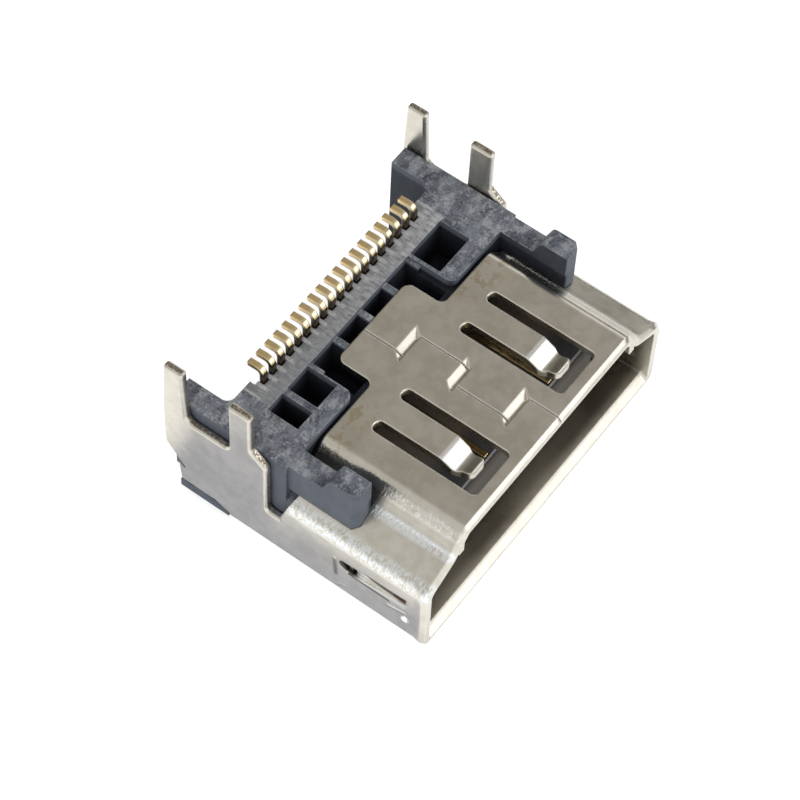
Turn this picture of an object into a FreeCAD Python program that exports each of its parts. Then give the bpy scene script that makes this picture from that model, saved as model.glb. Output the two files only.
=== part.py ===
import FreeCAD, Part
import math
import os

V = FreeCAD.Vector
os.makedirs("parts", exist_ok=True)

# Millimetres. X runs across the mouth, Y from the lip to the rear, Z from the wide face to the board.

# Opening of the socket and its sheet metal
mouth_w = 14.0
mouth_h = 4.55
sheet = 0.35
fit = 0.03
reach_past = 1.0

# Folded section of the shell: radii, and how far each bend lies inside the side and the crown
fold_r = 0.5
shoulder_drop = 1.7
shoulder_r = 0.7
ledge_in = 1.45
ledge_drop = 0.95
ledge_r = 0.6
crown_in = 2.3
crown_r = 0.5
lip_bevel = 0.18
lip_flare = 0.1
lip_back = 0.5
bell_y = 0.33
bell_drop = 0.31
nub_in = 2.05
nub_w = 0.28
nub_drop = 0.2
nub_y = 0.3

# Rear edges of the mouth tube
tube_y = 6.43
crown_y = 6.28
rake_y = 5.55
rake_z = 2.65
floor_y = 8.8

# Tongue of sheet that runs back over the housing
flap_hw = 2.13
flap_y = 7.9
flap_r = 0.35
flap_root_r = 0.3

# Zigzag seam and its pressed dovetails
seam_gap = 0.04
seam_x = (0.72, -0.42, 0.5, -0.5)
lock_y = (1.65, 4.05, 6.3)
lock_w = 0.42
lock_depth = 0.24
lock_tail = 0.34

# Contact fingers cut in the crown and in the wide face
finger_x = 2.65
finger_w = 1.15
finger_slot = 0.53
finger_root_y = 5.2
finger_bend_y = 2.55
finger_low_y = 1.85
finger_tip_y = 1.22
finger_front_gap = 0.62
finger_drop = 0.36
finger_curl = 0.26
finger_r = 0.25
finger_neck = 0.18
finger_tip_w = 0.86
finger_tip_r = 0.24
slot_r = 0.22
under_shift = 1.55

# Retention springs cut in the side walls: window, spring and the dimple below
cheek_y0 = 0.85
cheek_y1 = 3.72
cheek_slant = 0.36
cheek_front_z0 = 2.22
cheek_front_z1 = 2.61
cheek_rear_z0 = 1.82
cheek_rear_z1 = 2.43
cheek_gap = 0.04
cheek_top_gap = 0.24
cheek_end_gap = 0.25
cheek_push = 0.1
cheek_t = 0.25
cheek_r = 0.05
dimple_r = 0.2
dimple_deep = 0.14
dimple_y = 0.88
dimple_z = 1.25

# Side walls behind the tube, and their board legs
wall_low_z = 0.69
wall_low_run = 0.45
wall_notch_z = 2.35
wall_front_y = 7.08
wall_step_drop = 0.1
wall_step = 0.55
wall_rear_y = 11.72
wall_cut_low_y = 11.04
wall_cut_y = 11.2
wall_cut_z = 2.1
wall_cut_rise = 0.65
wall_cut_r = 0.35
wall_bow_r = 1.0
saddle_drop = 0.4
saddle_r = 0.35
notch_r = 0.2
leg_reach = 1.6
front_leg_y0 = 7.78
front_leg_y1 = 8.74
rear_leg_y0 = 10.66
rear_leg_taper = 0.12
leg_corner_r = 0.1
leg_bevel = 0.08

# Plate folded up behind the housing
tail_plate_in = 0.7
tail_plate_y = 10.9
tail_plate_z = 0.85

# Moulded housing
body_front_y = 6.0
pad_rise = 0.15
beam_y = 8.5
beam_rear_y = 9.72
wing_w = 0.92
wing_rear_y = 11.52
wing_r = 0.35
base_z = 1.0
base_bevel = 0.2
lug_z = 0.24
edge_r = 0.1
pad_inner_x = 3.0
pad_rear_y = 7.15
pad_r = 0.35
pocket_depth = 2.1
pocket_x0 = -5.4
pocket_x1 = 5.0
rib_x0 = -4.4
rib_pitch = 1.48
rib_count = 6
rib_w = 0.27
rib_drop = 0.03

# Arms that lie along the shoulders, with the standoffs that meet the board
arm_in = 0.53
arm_w = 0.87
arm_y = 3.5
arm_gap = 0.05
arm_bevel = 0.22
standoff_y = 5.0
standoff_ramp = 0.32
standoff_r = 0.25
board_rise = 0.9

# Contact tongue in the mouth
blade_side = 1.65
blade_y = 1.6
blade_lift = 1.45
blade_t = 1.25
blade_bevel = 0.1

# Contacts: two staggered rows on the tongue, one row of feet at the board
pins = 19
pin_pitch = 0.5
pin_w = 0.24
pin_t = 0.2
pin_y = 1.95
pin_proud = 0.04
pin_bend = 0.28
rise_y = 9.36
foot_y = 10.02
foot_proud = 0.02
foot_dip = 0.05
comb_depth = 0.14
field_margin = 0.35

# Values that follow from the sizes above
half_w = mouth_w / 2 + sheet
height = mouth_h + 2 * sheet
inner_hw = half_w - sheet - fit
crown_under = height - sheet
shoulder_z = height - shoulder_drop
ledge_x = half_w - ledge_in
ledge_z = height - ledge_drop
crown_x = half_w - crown_in
board_z = height + board_rise
leg_top_z = board_z + leg_reach
saddle_z = height - saddle_drop
wall_step_z = height - wall_step_drop
tail_plate_hw = inner_hw + fit - tail_plate_in
top_z = height + pad_rise
rib_top_z = height - rib_drop
wing_x = inner_hw - wing_w
arm_x1 = half_w - arm_in
arm_x0 = arm_x1 - arm_w
blade_hw = mouth_w / 2 - blade_side
blade_z0 = sheet + blade_lift
blade_z1 = blade_z0 + blade_t
foot_z = board_z + foot_proud


# Closed wire of straight runs and tangent arcs from (u, v, radius) corners
def outline(corners, place):
    turns = []
    for i, (u, v, radius) in enumerate(corners):
        here = V(u, v, 0)
        if radius <= 0:
            turns.append((here, None, here))
            continue
        back = (V(*corners[i - 1][:2], 0) - here).normalize()
        ahead = (V(*corners[(i + 1) % len(corners)][:2], 0) - here).normalize()
        half = back.getAngle(ahead) / 2
        run = radius / math.tan(half)
        middle = (back + ahead).normalize() * (radius / math.sin(half) - radius)
        turns.append((here + back * run, here + middle, here + ahead * run))
    edges = []
    for i, (start, middle, end) in enumerate(turns):
        before = turns[i - 1][2]
        if before.distanceToPoint(start) > 1e-6:
            edges.append(Part.LineSegment(place(before), place(start)).toShape())
        if middle is not None:
            edges.append(Part.Arc(place(start), place(middle), place(end)).toShape())
    return Part.Wire(Part.sortEdges(edges)[0])


# Solids drawn in the three main planes and pulled straight
def across(corners, x0, x1):
    wire = outline(corners, lambda p: V(x0, p.x, p.y))
    return Part.Face(wire).extrude(V(x1 - x0, 0, 0))


def along(corners, y0, y1):
    wire = outline(corners, lambda p: V(p.x, y0, p.y))
    return Part.Face(wire).extrude(V(0, y1 - y0, 0))


def upright(corners, z0, z1):
    wire = outline(corners, lambda p: V(p.x, p.y, z0))
    return Part.Face(wire).extrude(V(0, 0, z1 - z0))


def block(x0, x1, y0, y1, z0, z1):
    return Part.makeBox(x1 - x0, y1 - y0, z1 - z0, V(x0, y0, z0))


def both(shape):
    return [shape, shape.mirror(V(0, 0, 0), V(1, 0, 0))]


# Outline of a bent strip from its centre line of (u, v, radius) points
def strip(path, thick):
    left, right = [], []
    for i, (u, v, radius) in enumerate(path):
        here = V(u, v, 0)
        arrive = here - V(*path[max(i - 1, 0)][:2], 0)
        leave = V(*path[min(i + 1, len(path) - 1)][:2], 0) - here
        arrive = (arrive if arrive.Length else leave).normalize()
        leave = (leave if leave.Length else arrive).normalize()
        normal = V(-arrive.y - leave.y, arrive.x + leave.x, 0).normalize()
        side = normal * (thick / 2 / normal.dot(V(-arrive.y, arrive.x, 0)))
        swell = math.copysign(thick / 2, arrive.cross(leave).z) if radius else 0
        left.append((*(here + side)[:2], radius - swell))
        right.append((*(here - side)[:2], radius + swell))
    return left + right[::-1]


# Corners of a closed section moved out by an offset, each arc kept round its centre
def grown(corners, offset):
    moved = []
    for i, (u, v, radius) in enumerate(corners):
        here = V(u, v, 0)
        arrive = (here - V(*corners[i - 1][:2], 0)).normalize()
        leave = (V(*corners[(i + 1) % len(corners)][:2], 0) - here).normalize()
        outward = V(arrive.y + leave.y, -arrive.x - leave.x, 0).normalize()
        step = outward * (offset / outward.dot(V(arrive.y, -arrive.x, 0)))
        bend = math.copysign(offset, arrive.cross(leave).z * offset)
        moved.append((*(here + step)[:2], radius + bend))
    return moved


# Stepped section of the mouth tube, its walls moved sideways by a flare
def tube_corners(flare):
    side = half_w + flare
    right = [(side, 0, fold_r), (side, shoulder_z, shoulder_r),
             (ledge_x, ledge_z, ledge_r), (crown_x, height, crown_r)]
    return right + [(-x, z, r) for x, z, r in reversed(right)]


def tube_section(offset, y0, y1):
    return along(grown(tube_corners(0), offset), y0, y1)


# A section with its two lowest corners put at a height of their own
def floored(corners, z):
    return [(u, z if v < fold_r else v, r) for u, v, r in corners]


def loft(sections):
    wires = [outline(corners, lambda p, y=y: V(p.x, y, p.y)) for y, corners in sections]
    return Part.makeLoft(wires, True, True)


# Mouth tube open towards the rear: lip flared at the sides and bevelled, floor belled out
def mouth_tube():
    at_bevel = lip_flare * (1 - lip_bevel / lip_back)
    lip = loft([(0, floored(grown(tube_corners(lip_flare), -lip_bevel), 0)),
                (lip_bevel, tube_corners(at_bevel)), (lip_back, tube_corners(0))])
    inner = grown(tube_corners(0), -sheet)
    bell = loft([(-bell_y, floored(inner, sheet - 2 * bell_drop)), (bell_y, inner)])
    outer = lip.fuse(tube_section(0, lip_back, floor_y))
    tube = outer.cut([bell, tube_section(-sheet, bell_y - fit, floor_y + reach_past)])
    beyond = floor_y + reach_past
    above = height + reach_past
    low = block(-half_w - reach_past, half_w + reach_past, tube_y, beyond, wall_low_z, above)
    crown = block(-ledge_x, ledge_x, crown_y, beyond, shoulder_z, above)
    rake = across([(tube_y, rake_z, 0), (rake_y, height, 0), (rake_y, above, 0),
                   (beyond, above, 0), (beyond, rake_z, 0)], ledge_x, half_w + reach_past)
    return tube.cut([low, crown] + both(rake))


# Small stops left under the lip where the crown steps down
def lip_nub():
    x = half_w - nub_in
    return block(x - nub_w / 2, x + nub_w / 2, 0, nub_y, ledge_z - nub_drop, ledge_z + nub_w)


# Tongue of the crown that holds the housing down
def flap():
    root = flap_hw + flap_root_r + sheet
    half = [(root, crown_y - reach_past, 0), (root, crown_y, 0),
            (flap_hw, crown_y, flap_root_r), (flap_hw, flap_y, flap_r)]
    return upright(half + [(-x, y, r) for x, y, r in reversed(half)], crown_under, height)


# Side wall behind the tube: notch, saddle between the legs, and rear cut
def side_wall():
    into = tube_y - sheet
    rear_leg_y1 = wall_rear_y - rear_leg_taper
    shape = across([
        (into, fold_r, 0), (floor_y, fold_r, 0), (floor_y + wall_low_run, wall_low_z, 0),
        (wall_cut_low_y, wall_low_z, leg_corner_r), (wall_cut_y, wall_cut_z, leg_corner_r),
        (wall_rear_y, wall_cut_z + wall_cut_rise, wall_cut_r), (wall_rear_y, saddle_z, wall_bow_r),
        (rear_leg_y1, leg_top_z, leg_corner_r), (rear_leg_y0 + rear_leg_taper, leg_top_z, leg_corner_r),
        (rear_leg_y0, saddle_z, saddle_r), (front_leg_y1, saddle_z, saddle_r),
        (front_leg_y1, leg_top_z, leg_corner_r), (front_leg_y0, leg_top_z, leg_corner_r),
        (front_leg_y0, wall_step_z + wall_step, notch_r), (wall_front_y, wall_step_z, notch_r),
        (wall_front_y, wall_notch_z, notch_r), (into, wall_notch_z, 0)], half_w - sheet, half_w)
    tips = [e for e in shape.Edges if all(abs(v.Z - leg_top_z) < 1e-6 for v in e.Vertexes)
            and e.Length > sheet + 1e-3]
    return shape.makeChamfer(leg_bevel, tips)


# Floor behind the tube, folded up to close the lower rear
def tail_plate():
    mid = sheet / 2
    path = [(floor_y - sheet, mid, 0), (tail_plate_y + mid, mid, fold_r - mid),
            (tail_plate_y + mid, tail_plate_z, 0)]
    plate = across(strip(path, sheet), -tail_plate_hw, tail_plate_hw)
    ears = block(-inner_hw, inner_hw, tail_plate_y, tail_plate_y + sheet, wall_low_z, tail_plate_z)
    return plate.fuse(ears)


# Round-ended slots beside one finger, joined by a cross slot at its tip
def finger_slot_cut(z0, z1, shift):
    half = finger_w / 2
    cross_y = finger_tip_y - finger_front_gap + shift
    root_y = finger_root_y + shift
    end_r = finger_slot / 2 - fit
    cuts = []
    for side in (-1, 1):
        near = finger_x + side * half
        far = finger_x + side * (half + finger_slot)
        cuts.append(upright([(near, cross_y, 0), (far, cross_y, slot_r),
                             (far, root_y, end_r), (near, root_y, end_r)], z0, z1))
    cuts.append(block(finger_x - half - fit, finger_x + half + fit, cross_y, finger_tip_y + shift, z0, z1))
    cuts.append(block(finger_x - half, finger_x + half, cross_y, finger_bend_y + shift, z0, z1))
    return cuts[0].fuse(cuts[1:])


# Finger bent into the mouth, its tip curled back and rounded in plan
def finger(face_z, inward, shift):
    mid = face_z + inward * sheet / 2
    low = mid + inward * finger_drop
    path = [(finger_bend_y + sheet + shift, mid, 0), (finger_bend_y + shift, mid, finger_r),
            (finger_low_y + shift, low, finger_r),
            (finger_tip_y + shift, low - inward * finger_curl, 0)]
    half, tip_half = finger_w / 2, finger_tip_w / 2
    side = [(tip_half, finger_tip_y - fit, finger_tip_r), (tip_half, finger_low_y - finger_neck, 0),
            (half, finger_low_y + finger_neck, 0), (half, finger_root_y, 0)]
    ring = side + [(-x, y, r) for x, y, r in reversed(side)]
    plan = upright([(finger_x + x, y + shift, r) for x, y, r in ring], -reach_past, height + reach_past)
    return across(strip(path, sheet), finger_x - half, finger_x + half).common(plan)


# Seam that zigzags down the crown, with a pressed dovetail at each crossing
def seam():
    cuts = []
    turn_y = tuple(y - lock_w / 2 for y in lock_y)
    ends = (-reach_past,) + turn_y + (flap_y + reach_past,)
    low, high = crown_under - reach_past, height + reach_past
    for x, y0, y1 in zip(seam_x, ends, ends[1:]):
        cuts.append(block(x - seam_gap / 2, x + seam_gap / 2, y0, y1, low, high))
    for y, x0, x1 in zip(turn_y, seam_x, seam_x[1:]):
        a, b = min(x0, x1), max(x0, x1)
        cuts.append(block(a - seam_gap / 2, b + seam_gap / 2, y, y + seam_gap, low, high))
        slope = [(y + lock_w, height + sheet, 0), (y + lock_w, height, 0),
                 (y, height - lock_depth, 0), (y, height + sheet, 0)]
        press = across(slope, a - lock_tail, b + lock_tail)
        lean = upright([(a - lock_tail, y, 0), (b, y, 0),
                        (b + lock_tail, y + lock_w, 0), (a, y + lock_w, 0)], low, high)
        cuts.append(press.common(lean))
    return cuts


# Window of one side wall and the dimple punched in front of it
def cheek_window():
    inside, outside = half_w - sheet - reach_past, half_w + reach_past
    window = across([(cheek_y0, cheek_front_z0, cheek_r), (cheek_y0, cheek_front_z1, cheek_r),
                     (cheek_y1, cheek_rear_z1, cheek_r),
                     (cheek_y1 - cheek_slant, cheek_rear_z0, cheek_r)], inside, outside)
    dimple = Part.makeCone(0, 2 * dimple_r, 2 * dimple_deep,
                           V(half_w - dimple_deep, dimple_y, dimple_z), V(1, 0, 0))
    return [window, dimple]


# Spring in the window, rooted at its front and leaning into the mouth
def cheek_spring():
    mid = half_w - sheet / 2
    root_y, tip_y = cheek_y0 - sheet, cheek_y1 - cheek_slant - cheek_end_gap
    path = [(mid, root_y, 0), (mid, cheek_y0, finger_r), (mid - cheek_push, tip_y, 0)]
    lean = upright(strip(path, cheek_t), cheek_rear_z0 - reach_past, cheek_front_z1 + reach_past)
    face = across([(root_y, cheek_front_z0 + cheek_gap, 0), (root_y, cheek_front_z1 - cheek_top_gap, 0),
                   (tip_y, cheek_rear_z1 - cheek_top_gap, 0), (tip_y, cheek_rear_z0 + cheek_gap, 0)],
                  half_w - reach_past, half_w)
    return lean.common(face)


def make_shell():
    low, high = -reach_past, sheet + reach_past / 2
    cuts = seam()
    for slot in both(finger_slot_cut(crown_under - reach_past / 2, height + reach_past, 0)):
        cuts.append(slot)
    for slot in both(finger_slot_cut(low, high, under_shift)):
        cuts.append(slot)
    for window in cheek_window():
        cuts += both(window)
    body = mouth_tube().fuse([flap(), tail_plate()] + both(side_wall()) + both(lip_nub()))
    body = body.removeSplitter().cut(cuts)
    springs = both(finger(height, -1, 0)) + both(finger(0, 1, under_shift))
    springs += both(cheek_spring())
    return body.fuse(springs).removeSplitter()


# Centre line and solid of one contact; grown by a clearance it cuts its own channel
def pin_x(i):
    return (i - (pins - 1) / 2) * pin_pitch


def pin_solid(i, grow):
    row_z = blade_z0 + pin_t / 2 - pin_proud if i % 2 == 0 else blade_z1 - pin_t / 2 + pin_proud
    foot = foot_z - pin_t / 2
    path = [(pin_y - grow, row_z, 0), (rise_y - pin_bend, row_z, 0), (rise_y, row_z + pin_bend, 0),
            (rise_y, foot, pin_bend), (foot_y + grow, foot - foot_dip, 0)]
    half = pin_w / 2 + grow
    return across(strip(path, pin_t + 2 * grow), pin_x(i) - half, pin_x(i) + half)


# Contact tongue with bevelled nose
def contact_tongue():
    nose = [(blade_y, blade_z0 + blade_bevel, 0), (blade_y + blade_bevel, blade_z0, 0),
            (body_front_y + reach_past, blade_z0, 0), (body_front_y + reach_past, blade_z1, 0),
            (blade_y + blade_bevel, blade_z1, 0), (blade_y, blade_z1 - blade_bevel, 0)]
    plan = [(-blade_hw, body_front_y + reach_past, 0), (-blade_hw, blade_y + blade_bevel, 0),
            (-blade_hw + blade_bevel, blade_y, 0), (blade_hw - blade_bevel, blade_y, 0),
            (blade_hw, blade_y + blade_bevel, 0), (blade_hw, body_front_y + reach_past, 0)]
    return across(nose, -blade_hw, blade_hw).common(upright(plan, blade_z0, blade_z1))


# Lug that fills the cut under the edge of one side wall
def side_lug():
    front = floor_y + wall_low_run + fit
    shape = across([(floor_y + fit, lug_z, 0), (floor_y + fit, fold_r, 0),
                    (front, wall_low_z - fit, 0), (wall_cut_low_y, wall_low_z - fit, 0),
                    (wall_cut_low_y, lug_z, 0)], tail_plate_hw + fit, half_w)
    return shape


# Main block behind the tube with its two rear wings
def housing_block():
    front = tube_y + fit
    low = sheet + fit
    section = [(-inner_hw, low + base_bevel, 0), (-inner_hw + base_bevel, low, 0),
               (inner_hw - base_bevel, low, 0), (inner_hw, low + base_bevel, 0),
               (inner_hw, top_z, edge_r), (-inner_hw, top_z, edge_r)]
    mass = along(section, front, wing_rear_y)
    bay = upright([(-wing_x, beam_rear_y, wing_r), (-wing_x, wing_rear_y + reach_past, 0),
                   (wing_x, wing_rear_y + reach_past, 0), (wing_x, beam_rear_y, wing_r)],
                  base_z, top_z + reach_past)
    ledge = block(-half_w, half_w, tail_plate_y - fit, wing_rear_y + reach_past,
                  -reach_past, tail_plate_z + fit)
    back = tail_plate_y - fit
    open_rear = block(-wing_x, wing_x, back, wing_rear_y + reach_past, -reach_past, base_z + fit)
    heel = across([(back - base_bevel, low - fit, 0), (back + fit, low - fit, 0),
                   (back + fit, low + base_bevel + fit, 0)], -half_w, half_w)
    inside = tube_section(-sheet - fit, body_front_y, front + fit)
    body = mass.cut([bay, ledge, open_rear, heel]).fuse(inside)
    return body.fuse(both(side_lug()))


# Pockets moulded between the ribs, and the room under the tongue of sheet
def housing_pockets():
    cuts = []
    edges = [pocket_x0] + [rib_x0 + i * rib_pitch for i in range(rib_count)] + [pocket_x1]
    for i, (a, b) in enumerate(zip(edges, edges[1:])):
        a += rib_w / 2 if i else 0
        b -= rib_w / 2 if i < rib_count else 0
        inner = abs((a + b) / 2) < pad_inner_x
        start = crown_y + sheet if inner else pad_rear_y
        cuts.append(block(a, b, start, beam_y, top_z - pocket_depth, top_z + reach_past))
    gap = block(-pad_inner_x, pad_inner_x, crown_y, flap_y + fit, crown_under - fit,
                top_z + reach_past)
    over_ribs = block(-pad_inner_x, pad_inner_x, crown_y, beam_y, rib_top_z, top_z + reach_past)
    corner = upright([(pad_inner_x + pad_r, tube_y, 0), (pad_inner_x + pad_r, tube_y + fit, 0),
                      (pad_inner_x, tube_y + fit, pad_r), (pad_inner_x, pad_rear_y, 0),
                      (pad_inner_x - fit, pad_rear_y, 0), (pad_inner_x - fit, tube_y, 0)],
                     crown_under - fit, top_z + reach_past)
    return cuts + [gap, over_ribs] + both(corner)


# Arm over one shoulder, its underside following the sheet below
def arm():
    root = tube_y + sheet
    side = across([(arm_y, shoulder_z, 0), (root, shoulder_z, 0), (root, top_z, 0),
                   (standoff_y, top_z, 0), (standoff_y - standoff_ramp, board_z, standoff_r),
                   (arm_y, board_z, 0)], arm_x0, arm_x1)
    bevel = upright([(arm_x0, arm_y, 0), (arm_x1 - arm_bevel, arm_y, 0),
                     (arm_x1, arm_y + arm_bevel, 0), (arm_x1, root, 0), (arm_x0, root, 0)],
                    shoulder_z, board_z)
    return side.common(bevel).cut(tube_section(arm_gap, 0, tube_y))


# Comb that guides the risers, open to the rear
def comb_cuts():
    field = pin_x(pins - 1) + field_margin
    back = rise_y + comb_depth
    cuts = [block(-field, field, back, beam_rear_y + reach_past, base_z, top_z + reach_past)]
    for i in range(pins):
        half = pin_w / 2 + fit
        cuts.append(block(pin_x(i) - half, pin_x(i) + half, rise_y - pin_t / 2 - fit,
                          back + reach_past, base_z, top_z + reach_past))
    return cuts


def make_insulator():
    body = housing_block().fuse([contact_tongue()] + both(arm()))
    cuts = housing_pockets() + comb_cuts() + [pin_solid(i, fit) for i in range(pins)]
    return body.cut(cuts).removeSplitter()


# The origin is the middle of the base, so the lip lies half the depth in front of it
def save(shape, name):
    shape.translate(V(0, -wall_rear_y / 2, 0))
    shape.exportStep("parts/%s.step" % name)


save(make_shell(), "shell")
save(make_insulator(), "insulator")
for i in range(pins):
    save(pin_solid(i, 0), "contact_%02d" % (i + 1))
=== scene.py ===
import math

import bpy
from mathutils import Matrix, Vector


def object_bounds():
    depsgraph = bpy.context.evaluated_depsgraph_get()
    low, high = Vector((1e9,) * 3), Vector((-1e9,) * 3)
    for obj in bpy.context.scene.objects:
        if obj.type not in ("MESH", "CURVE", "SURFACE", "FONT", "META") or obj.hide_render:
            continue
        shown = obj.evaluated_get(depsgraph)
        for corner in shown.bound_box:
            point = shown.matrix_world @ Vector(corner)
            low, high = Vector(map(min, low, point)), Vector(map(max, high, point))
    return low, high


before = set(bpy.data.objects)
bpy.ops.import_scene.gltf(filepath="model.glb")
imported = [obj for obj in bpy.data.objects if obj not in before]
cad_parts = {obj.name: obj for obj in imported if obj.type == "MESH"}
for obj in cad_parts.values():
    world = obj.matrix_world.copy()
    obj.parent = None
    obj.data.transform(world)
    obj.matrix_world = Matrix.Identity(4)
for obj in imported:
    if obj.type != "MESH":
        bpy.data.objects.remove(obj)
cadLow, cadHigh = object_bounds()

print("frame loaded:", len(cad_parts), "nodes")

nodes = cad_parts
shell, insulator = nodes["shell"], nodes["insulator"]
contacts = [nodes[name] for name in sorted(nodes) if name.startswith("contact")]
mm = 0.001
lipY = cadLow.y
half = cadHigh.x / mm


# A place on the socket, in millimetres from its lip as in the part's source
def spot(x, y, z):
    return Vector((x * mm, lipY + y * mm, z * mm))


# A node tree with short calls for the nodes that repeat
class Wiring:
    def __init__(self, tree):
        self.tree = tree

    def node(self, kind, **settings):
        made = self.tree.nodes.new(kind)
        for name, value in settings.items():
            setattr(made, name, value)
        return made

    def put(self, socket, value):
        if isinstance(value, bpy.types.NodeSocket):
            self.tree.links.new(value, socket)
        elif value is not None:
            socket.default_value = value

    def math(self, operation, first, second=None, clamp=False):
        made = self.node("ShaderNodeMath", operation=operation, use_clamp=clamp)
        self.put(made.inputs[0], first)
        self.put(made.inputs[1], second)
        return made.outputs[0]

    def add(self, first, second):
        return self.math("ADD", first, second)

    def less(self, first, second):
        return self.math("SUBTRACT", first, second)

    def times(self, first, *others):
        for other in others:
            first = self.math("MULTIPLY", first, other)
        return first

    def larger(self, first, second):
        return self.math("MAXIMUM", first, second)

    def size(self, value):
        return self.math("ABSOLUTE", value)

    def vector(self, operation, first, second=None, output=0):
        made = self.node("ShaderNodeVectorMath", operation=operation)
        self.put(made.inputs[0], first)
        self.put(made.inputs[1], second)
        return made.outputs[output]

    def join(self, *parts):
        made = self.node("ShaderNodeCombineXYZ")
        for slot, value in zip(made.inputs, parts):
            self.put(slot, value)
        return made.outputs[0]

    def parts(self, vector):
        made = self.node("ShaderNodeSeparateXYZ")
        self.put(made.inputs[0], vector)
        return made.outputs

    def between(self, value, low, high, lowOut=0.0, highOut=1.0):
        made = self.node("ShaderNodeMapRange", interpolation_type="SMOOTHSTEP")
        for name, number in (("Value", value), ("From Min", low), ("From Max", high),
                             ("To Min", lowOut), ("To Max", highOut)):
            self.put(made.inputs[name], number)
        return made.outputs[0]

    # Share of a region, given as rows: an axis, and the millimetres at which its share is 0 and 1
    def region(self, axes, rows):
        shares = []
        for axis, low, high, *levels in rows:
            start = lipY if axis == "along" else 0
            shares.append(self.between(axes[axis], start + low * mm, start + high * mm, *levels))
        return self.times(*shares)

    def regions(self, axes, table):
        return {name: self.region(axes, rows) for name, rows in table.items()}

    def noise(self, place, scale, detail, roughness, stretch=None):
        if stretch:
            place = self.vector("MULTIPLY", place, stretch)
        made = self.node("ShaderNodeTexNoise")
        self.put(made.inputs["Vector"], place)
        self.put(made.inputs["Scale"], scale)
        self.put(made.inputs["Detail"], detail)
        self.put(made.inputs["Roughness"], roughness)
        return made.outputs["Fac"]

    def blend(self, share, first, second):
        made = self.node("ShaderNodeMix", data_type="RGBA")
        self.put(made.inputs[0], share)
        self.put(made.inputs[6], first)
        self.put(made.inputs[7], second)
        return made.outputs[2]

    def bump(self, height, depth, normal):
        made = self.node("ShaderNodeBump")
        made.inputs["Strength"].default_value = 1.0
        made.inputs["Distance"].default_value = depth
        self.put(made.inputs["Height"], height)
        self.put(made.inputs["Normal"], normal)
        return made.outputs[0]

    def group(self, tree, **values):
        made = self.node("ShaderNodeGroup", node_tree=tree)
        for name, value in values.items():
            self.put(made.inputs[name], value)
        return made.outputs


def newGroup(name, inputs, outputs):
    tree = bpy.data.node_groups.new(name, "ShaderNodeTree")
    for direction, sockets in (("INPUT", inputs), ("OUTPUT", outputs)):
        for label, kind in sockets:
            tree.interface.new_socket(name=label, in_out=direction, socket_type="NodeSocket" + kind)
    wiring = Wiring(tree)
    return tree, wiring, wiring.node("NodeGroupInput").outputs, wiring.node("NodeGroupOutput").inputs


def newMaterial(name):
    material = bpy.data.materials.new(name)
    material.use_nodes = True
    wiring = Wiring(material.node_tree)
    return material, wiring, material.node_tree.nodes["Principled BSDF"]


# Where a point of the surface lies, and the direction that it faces
def surroundings(w):
    place = w.node("ShaderNodeTexCoord").outputs["Object"]
    x, y, z = w.parts(place)
    face = w.parts(w.node("ShaderNodeNewGeometry").outputs["True Normal"])
    return place, {"right": x, "along": y, "up": z}, face


# Edge wear and sheen: 1 along edges, used for wear and for painted highlights, and a normal that rounds them
def makeEdgeWearAndSheen():
    tree, w, given, result = newGroup("edgeWearAndSheen", [("Radius", "Float"), ("Amount", "Float")],
                                      [("Mask", "Float"), ("Normal", "Vector")])
    bevel = w.node("ShaderNodeBevel", samples=8)
    w.put(bevel.inputs["Radius"], given["Radius"])
    flat = w.node("ShaderNodeNewGeometry").outputs["True Normal"]
    match = w.vector("DOT_PRODUCT", bevel.outputs[0], flat, output=1)
    w.put(result["Mask"], w.math("MULTIPLY", w.less(1.0, match), given["Amount"], clamp=True))
    w.put(result["Normal"], bevel.outputs[0])
    return tree


# Kinds of variation: which size each goes by and how many times finer it is
mottleKinds = (
    {"name": "Clouds", "size": "Cloud", "finer": 1, "detail": 3.0, "roughness": 0.55},
    {"name": "Blotches", "size": "Cloud", "finer": 4, "detail": 3.0, "roughness": 0.6},
    {"name": "Grain", "size": "Grain", "finer": 1, "detail": 4.0, "roughness": 0.65},
    {"name": "Lines", "size": "Grain", "finer": 1, "detail": 2.0, "roughness": 0.5,
     "stretch": (1.0, 0.05, 1.0)},
)


# Mottle: cloudy, blotchy and grainy variation, and fine lines along the length of the socket
def makeMottle():
    tree, w, given, result = newGroup("mottle",
        [("Place", "Vector"), ("Cloud", "Float"), ("Grain", "Float")],
        [(kind["name"], "Float") for kind in mottleKinds])
    for kind in mottleKinds:
        scale = w.math("DIVIDE", kind["finer"], given[kind["size"]])
        w.put(result[kind["name"]], w.noise(given["Place"], scale, kind["detail"], kind["roughness"],
                                            kind.get("stretch")))
    return tree


# Stroke: 1 along the line from Start to End, fading out over the Soft share of Width
def makeStroke():
    tree, w, given, result = newGroup("stroke",
        [("Place", "Vector"), ("Start", "Vector"), ("End", "Vector"), ("Width", "Float"), ("Soft", "Float")],
        [("Mask", "Float")])
    run = w.vector("SUBTRACT", given["End"], given["Start"])
    here = w.vector("SUBTRACT", given["Place"], given["Start"])
    share = w.math("DIVIDE", w.vector("DOT_PRODUCT", here, run, output=1),
                   w.vector("DOT_PRODUCT", run, run, output=1), clamp=True)
    scaled = w.node("ShaderNodeVectorMath", operation="SCALE")
    w.put(scaled.inputs[0], run)
    w.put(scaled.inputs["Scale"], share)
    far = w.vector("LENGTH", w.vector("SUBTRACT", here, scaled.outputs[0]), output=1)
    full = w.times(given["Width"], w.less(1.0, given["Soft"]))
    w.put(result["Mask"], w.between(far, full, given["Width"], 1.0, 0.0))
    return tree


edgeWearAndSheen = makeEdgeWearAndSheen()
mottle = makeMottle()
stroke = makeStroke()
print("shared effects made")


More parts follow.
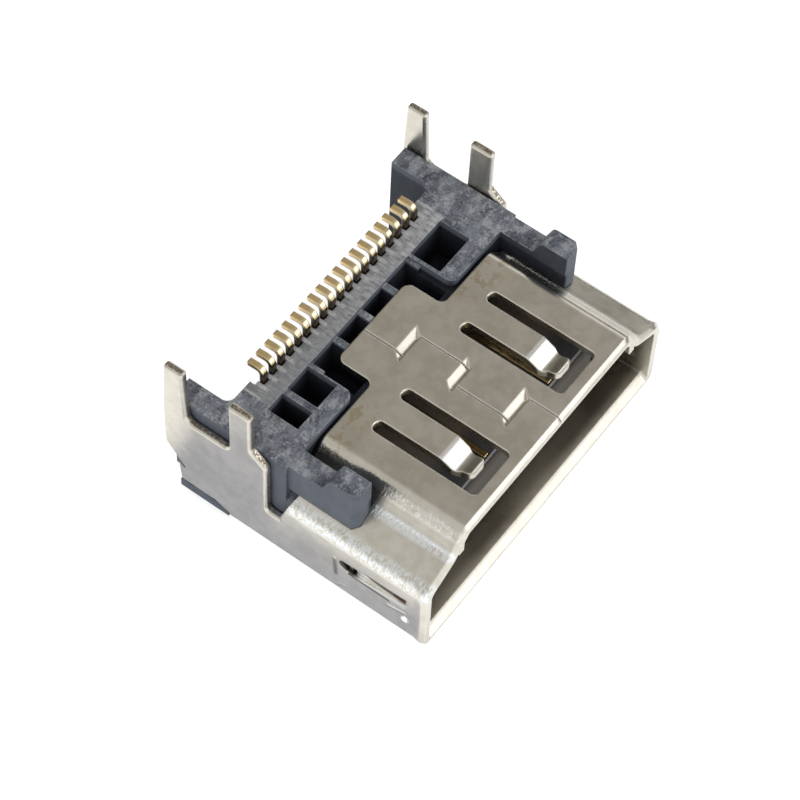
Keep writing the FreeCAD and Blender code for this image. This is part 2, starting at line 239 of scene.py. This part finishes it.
# Plated sheet of the shell
sheetLook = {
    "dull": (0.69, 0.655, 0.575, 1),
    "bright": (0.79, 0.755, 0.68, 1),
    "toneMix": (0.55, 0.45),  # of clouds and blotches
    "toneRange": (0.37, 0.62),
    "glint": (0.93, 0.96, 0.98, 1),
    "stain": (0.54, 0.46, 0.32, 1),
    "stainPatches": (0.46, 0.58),
    "stainShare": 0.8,
    "markSoft": 0.75,
    "cutBrown": (0.24, 0.19, 0.14, 1),
    "cutGrain": (0.40, 0.54, 0.2, 0.95),  # levels of grain, and the shares there
    "wornEdgeHighlight": (0.95, 0.93, 0.85, 1),
    "wornEdgeHighlightShare": 0.9,
    "deep": (0.07, 0.06, 0.05, 1),
    "tipShare": 0.5,
    "mouth": (0.42, 0.395, 0.34, 1),
    "shadow": (0.15, 0.135, 0.115, 1),
    "reddishReflection": (0.13, 0.075, 0.065, 1),
    "black": (0.03, 0.025, 0.02, 1),
    "edge": (0.26, 0.225, 0.18, 1),
    "white": (1.0, 1.0, 1.0, 1),
    "wallMarkShare": 0.95,
    "wallMarkSoft": 0.35,
    "creaseSoft": 1.0,
    "roughness": (0.25, 0.32),
    "roughnessRange": (0.3, 0.7),
    "bendSmoother": 0.08,
    "lipRougher": 0.3,
    "cutRougher": 0.25,
    "edgeRadius": 0.10 * mm,
    "wideEdgeRadius": 0.24 * mm,
    "ledgeRadius": 0.62 * mm,
    "wearAndSheen": 3.6,
    "cloudSize": 1.8 * mm,
    "grainSize": 0.09 * mm,
    "crackle": {"detail": 3.0, "roughness": 0.65, "stretch": (0.45, 1.0, 0.45)},
    "bendCore": 0.4,  # share of a bend's reach within which its speckle is full
    "speckleStep": 0.12,
    "bumpDepth": 0.022 * mm,
    "bumps": {"crackle": 0.9, "blotches": 0.08, "lines": 0.05, "creases": 1.1},
    # cosines at which a surface starts to count as facing that way, and at which it fully does
    "facing": {"up": (0.5, 0.8), "lip": (-0.5, -0.9), "edgeOn": (0.5, 0.2), "stained": (0.3, 0.6),
               "fingerHighlight": (0.3, 0.5), "down": (0.05, -0.05)},
    # rows of an axis and the millimetres at which the share is 0 and 1
    "regions": {
        "wall": (("across", 6.98, 7.01),),
        "side": (("across", 6.88, 6.92),),
        "boardFace": (("up", 4.75, 4.85),),
        "spring": (("across", 6.5, 6.6), ("up", 2.62, 2.55), ("up", 1.5, 1.6), ("along", 4.1, 3.9)),
        "ledge": (("right", 5.3, 5.5), ("right", 6.9, 6.7), ("up", 3.5, 3.7)),
        # the bends fade out towards the right, where less light falls, so their painted glints are fainter
        # there
        "bends": (("along", 6.6, 6.3), ("right", 4, 2, 0.3, 1.0)),
        "cutEdges": (("up", 2.4, 2.6), ("along", 6.8, 7.1)),
        "cutSides": (("right", -1, 1, 0.55, 0.0),),
        "fingerBends": (("across", 1.97, 2.0), ("across", 3.33, 3.3),
                        ("along", 1.80, 1.85), ("along", 2.62, 2.52)),
        "inside": (("across", 7.1, 6.95), ("up", 0.25, 0.31), ("up", 4.85, 4.8)),
        "belowSlant": (("up", 3.0, 2.9),),
        "pastLip": (("along", 0.3, 0.9),),
        "atLip": (("along", 0.8, 0.1),),
    },
}

# Bends burnished by the press, whose speckle is painted in the glint colour as painted highlights, at x and
# z: how far the speckle reaches, how strong it is, and the level of grain from which it shows
bends = (
    {"at": (7.12, 3.52), "reach": 0.50, "share": 1.0, "from": 0.42},
    {"at": (5.86, 4.36), "reach": 0.30, "share": 0.9, "from": 0.34},
    {"at": (5.30, 5.00), "reach": 0.34, "share": 0.8, "from": 0.52},
)

# Creases pressed beside the side springs, as y and z on the wall
creases = (
    {"start": (4.02, 2.31), "end": (3.92, 0.9), "width": 0.1},
    {"start": (3.86, 0.58), "end": (3.53, 0.78), "width": 0.09},
    {"start": (1.6, 1.46), "end": (0.9, 1.61), "width": 0.14},
)

# Painted shade, painted glints and a painted reddish reflection on the wall: the side spring, its dimple,
# and a scratch at the rear edge
wallMarks = (
    {"start": (3.6, 2.25), "end": (3.25, 2.05), "width": 0.24, "colour": "black"},
    {"start": (3.2, 2.30), "end": (2.5, 2.40), "width": 0.12, "colour": "shadow"},
    {"start": (2.5, 2.38), "end": (1.15, 2.38), "width": 0.24, "colour": "shadow"},
    {"start": (1.3, 2.38), "end": (1.0, 2.36), "width": 0.19, "colour": "reddishReflection"},
    {"start": (3.05, 2.03), "end": (2.6, 2.06), "width": 0.20, "colour": "white"},
    {"start": (2.6, 2.04), "end": (1.0, 2.02), "width": 0.15, "colour": "wornEdgeHighlight"},
    {"start": (3.36, 1.82), "end": (1.6, 1.80), "width": 0.10, "colour": "shadow", "soft": 0.9},
    {"start": (3.99, 2.15), "end": (3.93, 1.3), "width": 0.17, "colour": "edge", "soft": 1.0},
    {"start": (0.86, 1.2), "end": (0.8, 1.25), "width": 0.2, "colour": "white"},
    {"start": (11.19, 2.08), "end": (10.85, 1.68), "width": 0.08, "colour": "shadow"},
)

# Darker tips of the fingers, and flux that crept out from under the housing, as x, y and z
tips = (
    {"start": (2.45, 1.46, 5.03), "end": (2.85, 1.46, 5.03), "width": 0.34},
)
stains = (
    {"start": (3.6, 6.2, 5.25), "end": (5.3, 6.2, 5.25), "width": 1.5},
)


# 1 on a mark; one given as y and z lies on the wall
def marked(w, place, mark, soft):
    start, end = mark["start"], mark["end"]
    if len(start) == 2:
        start, end = (half, *start), (half, *end)
    return w.group(stroke, Place=place, Start=spot(*start), End=spot(*end), Width=mark["width"] * mm,
                   Soft=soft)["Mask"]


def markedAny(w, place, marks, soft):
    found = 0.0
    for mark in marks:
        found = w.larger(found, marked(w, place, mark, soft))
    return found


def makeSheet():
    look = sheetLook
    material, w, shader = newMaterial("platedSheet")
    place, axes, face = surroundings(w)
    axes["across"] = w.size(axes["right"])
    on = w.regions(axes, look["regions"])
    facing = look["facing"]
    halfPlace = w.join(axes["across"], axes["along"], axes["up"])
    wallPlace = w.join(half * mm, axes["along"], axes["up"])

    # the rear ends of the slots and the tops of the side springs are rounded more than other edges, which
    # also widens their painted highlight
    upward = w.between(face[2], *facing["up"])
    towardsLip = w.between(face[1], *facing["lip"])
    wide = w.larger(w.times(towardsLip, on["boardFace"]), w.times(on["spring"], upward))
    radius = w.between(wide, 0, 1, look["edgeRadius"], look["wideEdgeRadius"])
    radius = w.larger(radius, w.times(on["ledge"], look["ledgeRadius"]))
    wornAndSheen = w.group(edgeWearAndSheen, Radius=radius, Amount=look["wearAndSheen"])
    varied = w.group(mottle, Place=place, Cloud=look["cloudSize"], Grain=look["grainSize"])
    crackle = w.noise(place, 1 / look["grainSize"], **look["crackle"])

    bent, glintSpeckle = 0.0, 0.0
    for bend in bends:
        bendX, bendZ = bend["at"]
        reach = bend["reach"] * mm
        off = w.join(w.less(axes["across"], bendX * mm), 0.0, w.less(axes["up"], bendZ * mm))
        near = w.between(w.vector("LENGTH", off, output=1), reach, look["bendCore"] * reach,
                         0.0, bend["share"])
        dots = w.between(crackle, bend["from"], bend["from"] + look["speckleStep"])
        bent = w.larger(bent, near)
        glintSpeckle = w.larger(glintSpeckle, w.times(near, dots))
    bent, glintSpeckle = w.times(bent, on["bends"]), w.times(glintSpeckle, on["bends"])

    # rough cut edges of the wall and its legs: bare on top, less so on the sides, least on the right
    edgeOn = w.between(w.size(face[0]), *facing["edgeOn"])
    cut = w.times(on["wall"], on["cutEdges"], edgeOn, w.larger(upward, on["cutSides"]))
    cut = w.times(cut, w.between(varied["Grain"], *look["cutGrain"]), w.less(1.0, wornAndSheen["Mask"]))

    stained = w.times(markedAny(w, halfPlace, stains, look["markSoft"]),
                      w.between(varied["Blotches"], *look["stainPatches"]),
                      w.between(face[2], *facing["stained"]), look["stainShare"])

    cloudShare, blotchShare = look["toneMix"]
    tone = w.add(w.times(varied["Clouds"], cloudShare), w.times(varied["Blotches"], blotchShare))
    colour = w.blend(w.between(tone, *look["toneRange"]), look["dull"], look["bright"])
    colour = w.blend(stained, colour, look["stain"])
    # painted glints on the burnished bends
    colour = w.blend(glintSpeckle, colour, look["glint"])
    colour = w.blend(cut, colour, look["cutBrown"])
    # the tips of the fingers are painted darker
    darkTips = w.times(markedAny(w, halfPlace, tips, look["markSoft"]), look["tipShare"])
    colour = w.blend(darkTips, colour, look["deep"])

    # the upward faces of the fingers' bends are painted white, as a painted highlight
    fingerHighlight = w.times(on["fingerBends"], w.between(face[2], *facing["fingerHighlight"]))
    colour = w.blend(fingerHighlight, colour, look["white"])

    # inside the mouth the sheet is painted darker as shade, but dull and pale towards the lip
    inside = w.times(on["inside"], w.larger(on["belowSlant"], w.between(face[2], *facing["down"])))
    colour = w.blend(w.times(inside, on["pastLip"]), colour, look["mouth"])

    # edges are painted bright cream, partly as wear and partly as a painted highlight
    colour = w.blend(w.times(wornAndSheen["Mask"], look["wornEdgeHighlightShare"]), colour, look["wornEdgeHighlight"])
    for mark in wallMarks:
        there = marked(w, wallPlace, mark, mark.get("soft", look["wallMarkSoft"]))
        there = w.times(there, on["side"], look["wallMarkShare"])
        colour = w.blend(there, colour, look[mark["colour"]])
    w.put(shader.inputs["Base Color"], colour)
    shader.inputs["Metallic"].default_value = 1.0

    rough = w.between(varied["Clouds"], *look["roughnessRange"], *look["roughness"])
    rough = w.less(rough, w.times(bent, look["bendSmoother"]))
    rough = w.add(rough, w.times(inside, on["atLip"], look["lipRougher"]))
    w.put(shader.inputs["Roughness"], w.add(rough, w.times(cut, look["cutRougher"])))

    bumps = look["bumps"]
    height = w.times(crackle, bent, bumps["crackle"])
    height = w.add(height, w.times(varied["Blotches"], bumps["blotches"]))
    height = w.add(height, w.times(varied["Lines"], bumps["lines"]))
    creased = markedAny(w, wallPlace, creases, look["creaseSoft"])
    height = w.add(height, w.times(creased, on["side"], bumps["creases"]))
    w.put(shader.inputs["Normal"], w.bump(height, look["bumpDepth"], wornAndSheen["Normal"]))
    return material


# Moulded plastic of the insulator
plasticLook = {
    "topZ": 5.2,
    # the pale line at the tongue's front is a painted highlight of its bevel
    "noseHighlight": 1.84,  # where the bevel at the tongue's front shows as a pale line, from the lip
    "deep": (0.050, 0.056, 0.074, 1),
    "body": (0.215, 0.230, 0.258, 1),
    "toneMix": (0.55, 0.45),  # of clouds and grain
    "toneRange": (0.36, 0.62),
    "side": (0.120, 0.140, 0.175, 1),
    "sideShare": 0.8,
    "shade": (0.020, 0.022, 0.031, 1),
    "inwardShare": 0.65,
    "tongueRear": (0.17, 0.145, 0.12, 1),
    "tongueFront": (0.07, 0.068, 0.075, 1),
    "nose": (0.115, 0.106, 0.096, 1),
    "scuffAndHighlight": (0.45, 0.465, 0.475, 1),
    "scuffPatches": {"detail": 5.0, "roughness": 0.62, "stretch": (1.0, 1.6, 1.0)},
    "scuffRange": (0.47, 0.62),
    "scuffGrain": (0.36, 0.60, 0.35, 1.0),  # levels of grain, and the shares there
    "scratchPatches": (0.5, 0.62),
    "scratchLines": (0.5, 0.6),
    "scratchShare": 0.8,
    "scuffShares": (0.03, 0.62),  # anywhere, and added on the tops
    "edgeGrain": (0.35, 0.6, 0.3, 0.9),
    "beam": (0.31, 0.315, 0.32, 1),
    "beamRight": (0.49, 0.485, 0.49, 1),
    "beamDark": (0.19, 0.195, 0.205, 1),
    "streaks": {"detail": 3.0, "roughness": 0.6, "stretch": (1.0, 0.2, 1.0)},
    "streakMix": (0.6, 0.4),  # of streaks and blotches
    "streakRange": (0.34, 0.64),
    "pitch": 0.5,
    "wellWidth": (-0.4, 0.7),  # cosine of the place within the pitch
    "wellShare": 0.65,
    "ridge": (0.52, 0.52, 0.52, 1),
    "ridgeWidth": (-0.3, -0.8),
    "ridgeGrain": (0.35, 0.55, 0.3, 0.9),
    "roughness": (0.4, 0.65),
    "roughnessRange": (0.3, 0.7),
    "insideRougher": 0.35,
    "specular": 0.25,
    "edgeRadius": 0.08 * mm,
    "wearAndSheen": 2.5,
    "cloudSize": 0.9 * mm,
    "grainSize": 0.10 * mm,
    "bumpDepth": 0.035 * mm,
    "grainBump": 0.15,
    "blotchBump": 0.8,
    "facing": {"up": (0.6, 0.9), "level": (0.3, 0.6), "inward": (-0.4, -0.8)},
    "regions": {
        "raised": (("belowTop", 0.12, 0),),
        "open": (("belowTop", 0.20, 0.03),),
        "middle": (("across", 6.2, 5.9),),
        "arms": (("along", 6.9, 6.5),),
        "tongue": (("up", 3.3, 3.2), ("along", 5.9, 5.7)),
        "tongueRear": (("along", 2.6, 3.6),),
        "pastNose": (("pastNose", -0.02, 0.02),),
        "noseHighlight": (("offNose", 0.06, 0.02),),
        "beam": (("across", 5.3, 5.2), ("along", 8.4, 8.5)),
        "wells": (("along", 9.15, 9.4),),
        "ridges": (("along", 8.85, 9.10),),
        "beamRight": (("right", -4, 5),),
    },
}


def makePlastic():
    look = plasticLook
    material, w, shader = newMaterial("mouldedPlastic")
    place, axes, face = surroundings(w)
    axes["across"] = w.size(axes["right"])
    axes["belowTop"] = w.less(look["topZ"] * mm, axes["up"])
    axes["pastNose"] = w.less(axes["along"], spot(0, look["noseHighlight"], 0).y)
    axes["offNose"] = w.size(axes["pastNose"])
    on = w.regions(axes, look["regions"])
    facing = look["facing"]
    wornAndSheen = w.group(edgeWearAndSheen, Radius=look["edgeRadius"], Amount=look["wearAndSheen"])
    varied = w.group(mottle, Place=place, Cloud=look["cloudSize"], Grain=look["grainSize"])
    upward = w.times(w.between(face[2], *facing["up"]), on["raised"])

    # the sides are plainer than the tops, and the pockets and the inner sides of the arms are dark
    cloudShare, grainShare = look["toneMix"]
    tone = w.add(w.times(varied["Clouds"], cloudShare), w.times(varied["Grain"], grainShare))
    colour = w.blend(w.between(tone, *look["toneRange"]), look["deep"], look["body"])
    sideways = w.less(1.0, w.between(face[2], *facing["level"]))
    colour = w.blend(w.times(sideways, look["sideShare"]), colour, look["side"])
    inside = w.times(on["middle"], w.less(1.0, on["open"]))
    colour = w.blend(inside, colour, look["shade"])
    towardsMiddle = w.times(face[0], w.math("SIGN", axes["right"]))
    inward = w.times(w.between(towardsMiddle, *facing["inward"]), on["arms"])
    colour = w.blend(w.times(inward, look["inwardShare"]), colour, look["shade"])

    # the tongue, seen through the slots, is painted brown and brighter towards the rear, as painted light
    # where little light reaches it
    tongue = w.blend(on["tongueRear"], look["tongueFront"], look["tongueRear"])
    tongue = w.blend(on["pastNose"], look["nose"], tongue)
    colour = w.blend(on["tongue"], colour, tongue)
    # painted highlight along the bevel at the tongue's front
    colour = w.blend(w.times(on["tongue"], on["noseHighlight"]), colour, look["scuffAndHighlight"])

    patches = w.noise(place, 1 / look["cloudSize"], **look["scuffPatches"])
    scuffs = w.times(w.between(patches, *look["scuffRange"]),
                     w.between(varied["Grain"], *look["scuffGrain"]))
    scratched = w.times(w.between(varied["Blotches"], *look["scratchPatches"]),
                        w.between(varied["Lines"], *look["scratchLines"]))
    anywhere, onTops = look["scuffShares"]
    scuffs = w.times(w.larger(scuffs, w.times(scratched, look["scratchShare"])),
                     w.add(anywhere, w.times(upward, onTops)))
    # the edges of the tops are painted pale as a highlight, broken up by grain; real scuffs share the pale
    # colour
    edges = w.times(wornAndSheen["Mask"], on["raised"], w.between(varied["Grain"], *look["edgeGrain"]))
    colour = w.blend(w.larger(scuffs, edges), colour, look["scuffAndHighlight"])

    # the beam that the contacts rise from is brushed towards them, darker where they come out and
    # pale between them
    streaks = w.noise(place, 1 / look["grainSize"], **look["streaks"])
    streakShare, blotchShare = look["streakMix"]
    streaks = w.add(w.times(streaks, streakShare), w.times(varied["Blotches"], blotchShare))
    rows = w.math("COSINE", w.times(axes["right"], 2 * math.pi / (look["pitch"] * mm)))
    wells = w.times(w.between(rows, *look["wellWidth"]), on["wells"], look["wellShare"])
    ridges = w.times(w.between(rows, *look["ridgeWidth"]), on["ridges"],
                     w.between(varied["Grain"], *look["ridgeGrain"]))
    pale = w.blend(on["beamRight"], look["beam"], look["beamRight"])
    paleShare = w.times(w.between(streaks, *look["streakRange"]), w.less(1.0, wells))
    brushed = w.blend(paleShare, look["beamDark"], pale)
    brushed = w.blend(ridges, brushed, look["ridge"])
    colour = w.blend(w.times(on["beam"], upward), colour, brushed)
    w.put(shader.inputs["Base Color"], colour)

    rough = w.between(varied["Grain"], *look["roughnessRange"], *look["roughness"])
    w.put(shader.inputs["Roughness"], w.add(rough, w.times(inside, look["insideRougher"])))
    shader.inputs["Specular IOR Level"].default_value = look["specular"]
    height = w.add(w.times(varied["Grain"], w.add(look["grainBump"], upward)),
                   w.times(varied["Blotches"], upward, look["blotchBump"]))
    w.put(shader.inputs["Normal"], w.bump(height, look["bumpDepth"], wornAndSheen["Normal"]))
    return material


# Gold flash of the contacts
goldLook = {
    "bend": (9.36, 5.95),  # between riser and foot, from the lip and up
    "bright": (0.97, 0.82, 0.52, 1),
    "dull": (0.90, 0.69, 0.37, 1),
    "toneMix": {"clouds": 0.6, "bend": 0.8, "edges": 0.3},
    "toneRange": (0.25, 0.95),
    # painted reflection of the dark housing on the riser
    "riser": (0.045, 0.03, 0.022, 1),
    "riserReflectionShare": 0.92,
    "roughness": (0.15, 0.28),
    "roughnessRange": (0.3, 0.7),
    "edgeRadius": 0.07 * mm,
    "wearAndSheen": 2.0,
    "cloudSize": 0.9 * mm,
    "grainSize": 0.12 * mm,
    "bumpDepth": 0.003 * mm,
    "facing": {"notRear": (0.5, 0.2)},
    "regions": {
        "bend": (("pastBend", 0.3, 0.1), ("aboveBend", -0.1, 0.1)),
        "riser": (("aboveBend", 0.04, -0.10), ("up", 4.0, 4.3)),
    },
}


# The foot and its bend are bright: the bend and the edges are painted brighter as highlights. The riser is
# painted dark as a reflection of the dark housing, except from behind
def makeGold():
    look = goldLook
    material, w, shader = newMaterial("goldFlash")
    place, axes, face = surroundings(w)
    bendY, bendZ = look["bend"]
    axes["pastBend"] = w.less(axes["along"], spot(0, bendY, 0).y)
    axes["aboveBend"] = w.less(axes["up"], bendZ * mm)
    on = w.regions(axes, look["regions"])
    wornAndSheen = w.group(edgeWearAndSheen, Radius=look["edgeRadius"], Amount=look["wearAndSheen"])
    varied = w.group(mottle, Place=place, Cloud=look["cloudSize"], Grain=look["grainSize"])
    mix = look["toneMix"]
    # the bend and the edges are painted brighter as highlights
    tone = w.add(w.times(varied["Clouds"], mix["clouds"]), w.times(on["bend"], mix["bend"]))
    tone = w.add(tone, w.times(wornAndSheen["Mask"], mix["edges"]))
    colour = w.blend(w.between(tone, *look["toneRange"]), look["dull"], look["bright"])
    riser = w.times(on["riser"], w.between(face[1], *look["facing"]["notRear"]), look["riserReflectionShare"])
    colour = w.blend(riser, colour, look["riser"])
    w.put(shader.inputs["Base Color"], colour)
    shader.inputs["Metallic"].default_value = 1.0
    rough = w.between(varied["Blotches"], *look["roughnessRange"], *look["roughness"])
    w.put(shader.inputs["Roughness"], rough)
    w.put(shader.inputs["Normal"], w.bump(varied["Blotches"], look["bumpDepth"], wornAndSheen["Normal"]))
    return material


def dress(piece, material):
    piece.data.materials.clear()
    piece.data.materials.append(material)


dress(shell, makeSheet())
dress(insulator, makePlastic())
gold = makeGold()
for contact in contacts:
    dress(contact, gold)
print("materials on", len(nodes), "nodes")


# Floor, light and camera
studio = {
    "floorSize": 0.9,
    "floorDrop": 0.01 * mm,
    "floorTone": (0.80, 0.80, 0.80, 1),
    "floorRoughness": 0.9,
    "floorSpecular": 0.1,
    "floorSeen": 0.62,  # own light of the floor, for the camera
    # painted shadow: what metal shows of the floor beside the socket
    "floorShadowSeen": (0.50, 0.515, 0.58, 1),  # what metal shows of the floor beside the socket
    "floorFar": (1.10, 1.10, 1.08, 1),  # and further off
    "nearEdge": ((0.95, 1.75), (2.6, 7.2)),  # where the near part ends, in millimetres: front and rear
    "rightShade": (0.20, 0.194, 0.168, 1),  # low on the right, in the sky and far off on the floor
    "skyLight": 0.62,  # on matt surfaces
    "ceiling": (0.36, 0.342, 0.312, 1),  # what metal shows of the ceiling
    "ceilingLeft": (0.60, 0.595, 0.57, 1),
    "walls": (1.0, 1.0, 0.99, 1),  # and of the walls
    "rearWall": (0.17, 0.16, 0.14, 1),
    "wallTop": (0.20, 0.42),  # sine of the height where the walls end, on the left and elsewhere
    "ceilingFrom": (0.38, 0.66),
    "black": (0, 0, 0, 1),
    "white": (1, 1, 1, 1),
    # parts of the floor, by millimetres from the lip, the socket's right side and its rear
    "floorParts": {
        "back": (("along", 7.2, 9.2),),
        "front": (("along", 1.1, -0.7),),
        "right": (("pastRight", 1, 6),),
        "farRight": (("pastRight", 9, 16),),
        "behind": (("pastRear", 0, 1.3),),
    },
    # parts of the room, by the direction from the socket: to the right, to the rear and up
    "roomParts": {"rear": (0.4, 0.7), "right": (0.55, 0.75), "low": (0.26, 0.17),
                  "ceilingLeft": (0.25, -0.1), "elsewhere": (-0.45, -0.1)},
}

lamps = {
    "frontBox": {"at": (0.045, -0.095, 0.070), "size": (0.11, 0.07), "power": 0.034, "mirrored": True},
    "frontFill": {"at": (0.045, -0.095, 0.070), "size": (0.11, 0.07), "power": 0.026, "mirrored": False},
    "leftFill": {"at": (-0.110, 0.010, 0.075), "size": (0.09, 0.09), "power": 0.030, "mirrored": False},
}

cameraLook = {
    "at": (-0.0514992, -0.0338367, 0.0989500),
    "turn": (32.332, -1.702, -53.516),
    "lens": 140.13,
    "sensor": 36,
    "clip": (0.005, 5),
}


# 1 for a ray that a surface mirrors or lets through
def reflectedRay(w, path):
    return w.larger(path.outputs["Is Glossy Ray"], path.outputs["Is Transmission Ray"])


# The floor's light for reflected rays holds a painted shadow: metal sees the floor darker close beside the
# socket, least so in front of its mouth
def makeFloor():
    bpy.ops.object.select_all(action="DESELECT")
    floorZ = cadLow.z - studio["floorDrop"]
    bpy.ops.mesh.primitive_plane_add(size=studio["floorSize"], location=(0, 0, floorZ))
    floor = bpy.context.object
    floor.name = "studioFloor"
    material, w, shader = newMaterial("paleFloor")
    shader.inputs["Roughness"].default_value = studio["floorRoughness"]
    shader.inputs["Specular IOR Level"].default_value = studio["floorSpecular"]
    path = w.node("ShaderNodeLightPath")
    reflected = reflectedRay(w, path)
    w.put(shader.inputs["Base Color"], w.blend(reflected, studio["floorTone"], studio["black"]))

    x, y = w.parts(w.node("ShaderNodeTexCoord").outputs["Object"])[:2]
    axes = {"along": y, "pastRight": w.less(x, cadHigh.x), "pastRear": w.less(y, cadHigh.y)}
    on = w.regions(axes, studio["floorParts"])
    (frontFrom, frontTo), (rearFrom, rearTo) = studio["nearEdge"]
    left = w.between(w.less(cadLow.x, x), w.between(on["back"], 0, 1, frontFrom * mm, rearFrom * mm),
                     w.between(on["back"], 0, 1, frontTo * mm, rearTo * mm))
    away = w.larger(w.larger(left, on["right"]), w.larger(on["front"], on["behind"]))
    # painted shadow near the socket, seen only in reflections
    shown = w.blend(away, studio["floorShadowSeen"], studio["floorFar"])
    shown = w.blend(on["farRight"], shown, studio["rightShade"])
    w.put(shader.inputs["Emission Color"], w.blend(reflected, studio["white"], shown))
    seen = w.times(path.outputs["Is Camera Ray"], studio["floorSeen"])
    w.put(shader.inputs["Emission Strength"], w.add(seen, reflected))
    dress(floor, material)


def makeSky():
    sky = bpy.data.worlds.new("studioSky")
    bpy.context.scene.world = sky
    sky.use_nodes = True
    w = Wiring(sky.node_tree)
    background = sky.node_tree.nodes["Background"]
    x, y, z = w.parts(w.node("ShaderNodeTexCoord").outputs["Generated"])
    path = w.node("ShaderNodeLightPath")
    reflected = reflectedRay(w, path)
    parts = studio["roomParts"]
    walls = w.blend(w.between(y, *parts["rear"]), studio["walls"], studio["rearWall"])
    lowRight = w.times(w.between(x, *parts["right"]), w.between(z, *parts["low"]))
    walls = w.blend(lowRight, walls, studio["rightShade"])
    ceiling = w.blend(w.between(x, *parts["ceilingLeft"]), studio["ceiling"], studio["ceilingLeft"])
    elsewhere = w.between(x, *parts["elsewhere"])
    wallTop = w.between(elsewhere, 0, 1, *studio["wallTop"])
    ceilingFrom = w.between(elsewhere, 0, 1, *studio["ceilingFrom"])
    room = w.blend(w.between(z, wallTop, ceilingFrom), walls, ceiling)
    w.put(background.inputs["Color"], w.blend(reflected, studio["white"], room))
    level = w.larger(w.larger(path.outputs["Is Camera Ray"], reflected), studio["skyLight"])
    w.put(background.inputs["Strength"], level)


def makeLamps():
    middle = (cadLow + cadHigh) / 2
    for name, lamp in lamps.items():
        data = bpy.data.lights.new(name, "AREA")
        data.shape = "RECTANGLE"
        data.size, data.size_y = lamp["size"]
        data.energy = lamp["power"]
        made = bpy.data.objects.new(name, data)
        bpy.context.scene.collection.objects.link(made)
        made.location = lamp["at"]
        made.visible_glossy = lamp["mirrored"]
        made.rotation_euler = (middle - Vector(lamp["at"])).to_track_quat("-Z", "Y").to_euler()


def makeCamera():
    data = bpy.data.cameras.new("camera")
    data.lens = cameraLook["lens"]
    data.sensor_width = cameraLook["sensor"]
    data.clip_start, data.clip_end = cameraLook["clip"]
    made = bpy.data.objects.new("camera", data)
    bpy.context.scene.collection.objects.link(made)
    made.location = cameraLook["at"]
    made.rotation_euler = [math.radians(turn) for turn in cameraLook["turn"]]
    bpy.context.scene.camera = made


makeFloor()
makeSky()
makeLamps()
makeCamera()
bpy.context.scene.view_settings.view_transform = "Standard"
print("studio ready")
